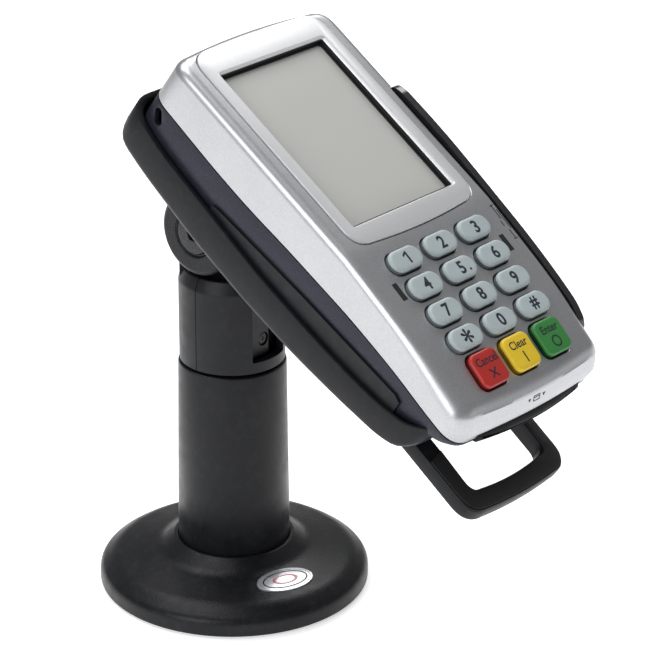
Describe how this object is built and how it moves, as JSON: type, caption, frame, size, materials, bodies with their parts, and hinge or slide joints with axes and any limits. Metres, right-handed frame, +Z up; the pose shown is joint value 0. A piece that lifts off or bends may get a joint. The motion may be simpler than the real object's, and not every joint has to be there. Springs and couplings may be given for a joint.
{
  "type": "card payment terminal on stand",
  "caption": "Keypad card payment terminal with screen, chip slot and stripe rail, held in a cradle with a hand loop on a round-based pole that swivels and tilts.",
  "frame": {"origin": "centre of the base's underside, on the pole's axis, where the part stands on the counter", "axes": "+Z up along the pole, +X to the user's right across the keypad, +Y away from the user; the face looks up and towards -Y"},
  "size_m": [0.106, 0.1989, 0.2292],
  "materials": {
    "base_paint": "satin charcoal powder coat",
    "foot_rubber": "matt black rubber",
    "badge": "silvery domed label with a plain ring pattern",
    "steel": "zinc-plated steel",
    "pole_paint": "satin charcoal paint",
    "bearing_plastic": "natural low-friction plastic",
    "stand_plastic": "satin charcoal moulded plastic",
    "hinge_casting": "black coated casting",
    "grip_rubber": "matt black soft grip",
    "cover_silver": "fine metallic silver paint on plastic",
    "casing_slate": "dark blue-grey metallic paint on plastic",
    "bezel_silver": "pale silver satin panel",
    "display_glass": "clear window over a grey screen that is off",
    "display_black": "black display frame",
    "board_green": "green circuit board",
    "mat_rubber": "black silicone",
    "reader_plastic": "matt black plastic",
    "rail_gloss": "dark glossy plastic",
    "head_metal": "bright read head",
    "socket_white": "white connector body",
    "key_grey": "pale blue-grey key with a dark figure",
    "key_red": "red key",
    "key_yellow": "yellow key",
    "key_green": "green key"
  },
  "bodies": {
    "stand": {"base_plate": "base_paint", "base_foot_pad": "foot_rubber", "base_badge": "badge", "tie_rod": "steel", "pole_tube": "pole_paint", "tie_rod_washer": "steel", "tie_rod_nut": "steel", "swivel_bush": "bearing_plastic"},
    "swivel_neck": {"collar_front": "stand_plastic", "collar_rear": "stand_plastic", "neck_block": "hinge_casting", "collar_screw_1": "steel", "collar_screw_2": "steel", "swivel_screw": "steel", "cable_cover": "stand_plastic", "cable_cover_screw": "steel"},
    "head": {"tilt_bracket": "hinge_casting", "friction_washer_left": "bearing_plastic", "friction_washer_right": "bearing_plastic", "hinge_bolt": "steel", "hinge_nut": "steel", "bracket_screw_1": "steel", "bracket_screw_2": "steel", "cradle_clip_left": "stand_plastic", "cradle_clip_right": "stand_plastic", "cradle_tray": "stand_plastic", "cradle_handle": "stand_plastic", "handle_grip": "grip_rubber", "front_cover": "cover_silver", "rear_casing": "casing_slate", "casing_screw_1": "steel", "casing_screw_2": "steel", "rear_hatch": "casing_slate", "display_bezel": "bezel_silver", "display_lens": "display_glass", "display_module": "display_black", "keypad_mat": "mat_rubber", "keypad_board": "board_green", "chip_card_reader": "reader_plastic", "card_slot_lip": "rail_gloss", "stripe_rail": "rail_gloss", "main_board": "board_green", "speaker": "reader_plastic", "cable_socket": "socket_white"},
    "key_1": {"key_1": "key_grey"},
    "key_2": {"key_2": "key_grey"},
    "key_3": {"key_3": "key_grey"},
    "key_4": {"key_4": "key_grey"},
    "key_5": {"key_5": "key_grey"},
    "key_6": {"key_6": "key_grey"},
    "key_7": {"key_7": "key_grey"},
    "key_8": {"key_8": "key_grey"},
    "key_9": {"key_9": "key_grey"},
    "key_star": {"key_star": "key_grey"},
    "key_0": {"key_0": "key_grey"},
    "key_hash": {"key_hash": "key_grey"},
    "key_cancel": {"key_cancel": "key_red"},
    "key_clear": {"key_clear": "key_yellow"},
    "key_enter": {"key_enter": "key_green"},
    "stripe_head": {"stripe_head": "head_metal"}
  },
  "joints": [
    {"name": "swivel", "type": "hinge", "parent": "stand", "child": "swivel_neck", "pos_m": [0, 0, 0.095], "axis": [0, 0, 1], "range_deg": [-165, 165]},
    {"name": "tilt", "type": "hinge", "parent": "swivel_neck", "child": "head", "pos_m": [0, 0, 0.1516], "axis": [1, 0, 0], "range_deg": [-30, 25]},
    {"name": "press_1", "type": "slide", "parent": "head", "child": "key_1", "axis": [0, 0.6259, -0.7799], "range_m": [0, 0.0012], "stiffness_N_per_m": 600, "springref_m": -0.0008},
    {"name": "press_2", "type": "slide", "parent": "head", "child": "key_2", "axis": [0, 0.6259, -0.7799], "range_m": [0, 0.0012], "stiffness_N_per_m": 600, "springref_m": -0.0008},
    {"name": "press_3", "type": "slide", "parent": "head", "child": "key_3", "axis": [0, 0.6259, -0.7799], "range_m": [0, 0.0012], "stiffness_N_per_m": 600, "springref_m": -0.0008},
    {"name": "press_4", "type": "slide", "parent": "head", "child": "key_4", "axis": [0, 0.6259, -0.7799], "range_m": [0, 0.0012], "stiffness_N_per_m": 600, "springref_m": -0.0008},
    {"name": "press_5", "type": "slide", "parent": "head", "child": "key_5", "axis": [0, 0.6259, -0.7799], "range_m": [0, 0.0012], "stiffness_N_per_m": 600, "springref_m": -0.0008},
    {"name": "press_6", "type": "slide", "parent": "head", "child": "key_6", "axis": [0, 0.6259, -0.7799], "range_m": [0, 0.0012], "stiffness_N_per_m": 600, "springref_m": -0.0008},
    {"name": "press_7", "type": "slide", "parent": "head", "child": "key_7", "axis": [0, 0.6259, -0.7799], "range_m": [0, 0.0012], "stiffness_N_per_m": 600, "springref_m": -0.0008},
    {"name": "press_8", "type": "slide", "parent": "head", "child": "key_8", "axis": [0, 0.6259, -0.7799], "range_m": [0, 0.0012], "stiffness_N_per_m": 600, "springref_m": -0.0008},
    {"name": "press_9", "type": "slide", "parent": "head", "child": "key_9", "axis": [0, 0.6259, -0.7799], "range_m": [0, 0.0012], "stiffness_N_per_m": 600, "springref_m": -0.0008},
    {"name": "press_star", "type": "slide", "parent": "head", "child": "key_star", "axis": [0, 0.6259, -0.7799], "range_m": [0, 0.0012], "stiffness_N_per_m": 600, "springref_m": -0.0008},
    {"name": "press_0", "type": "slide", "parent": "head", "child": "key_0", "axis": [0, 0.6259, -0.7799], "range_m": [0, 0.0012], "stiffness_N_per_m": 600, "springref_m": -0.0008},
    {"name": "press_hash", "type": "slide", "parent": "head", "child": "key_hash", "axis": [0, 0.6259, -0.7799], "range_m": [0, 0.0012], "stiffness_N_per_m": 600, "springref_m": -0.0008},
    {"name": "press_cancel", "type": "slide", "parent": "head", "child": "key_cancel", "axis": [0, 0.704, -0.7102], "range_m": [0, 0.0012], "stiffness_N_per_m": 600, "springref_m": -0.0008},
    {"name": "press_clear", "type": "slide", "parent": "head", "child": "key_clear", "axis": [0, 0.704, -0.7102], "range_m": [0, 0.0012], "stiffness_N_per_m": 600, "springref_m": -0.0008},
    {"name": "press_enter", "type": "slide", "parent": "head", "child": "key_enter", "axis": [0, 0.704, -0.7102], "range_m": [0, 0.0012], "stiffness_N_per_m": 600, "springref_m": -0.0008},
    {"name": "read_head_float", "type": "slide", "parent": "head", "child": "stripe_head", "axis": [1, 0, 0], "range_m": [0, 0.0008], "stiffness_N_per_m": 300, "springref_m": -0.001}
  ]
}
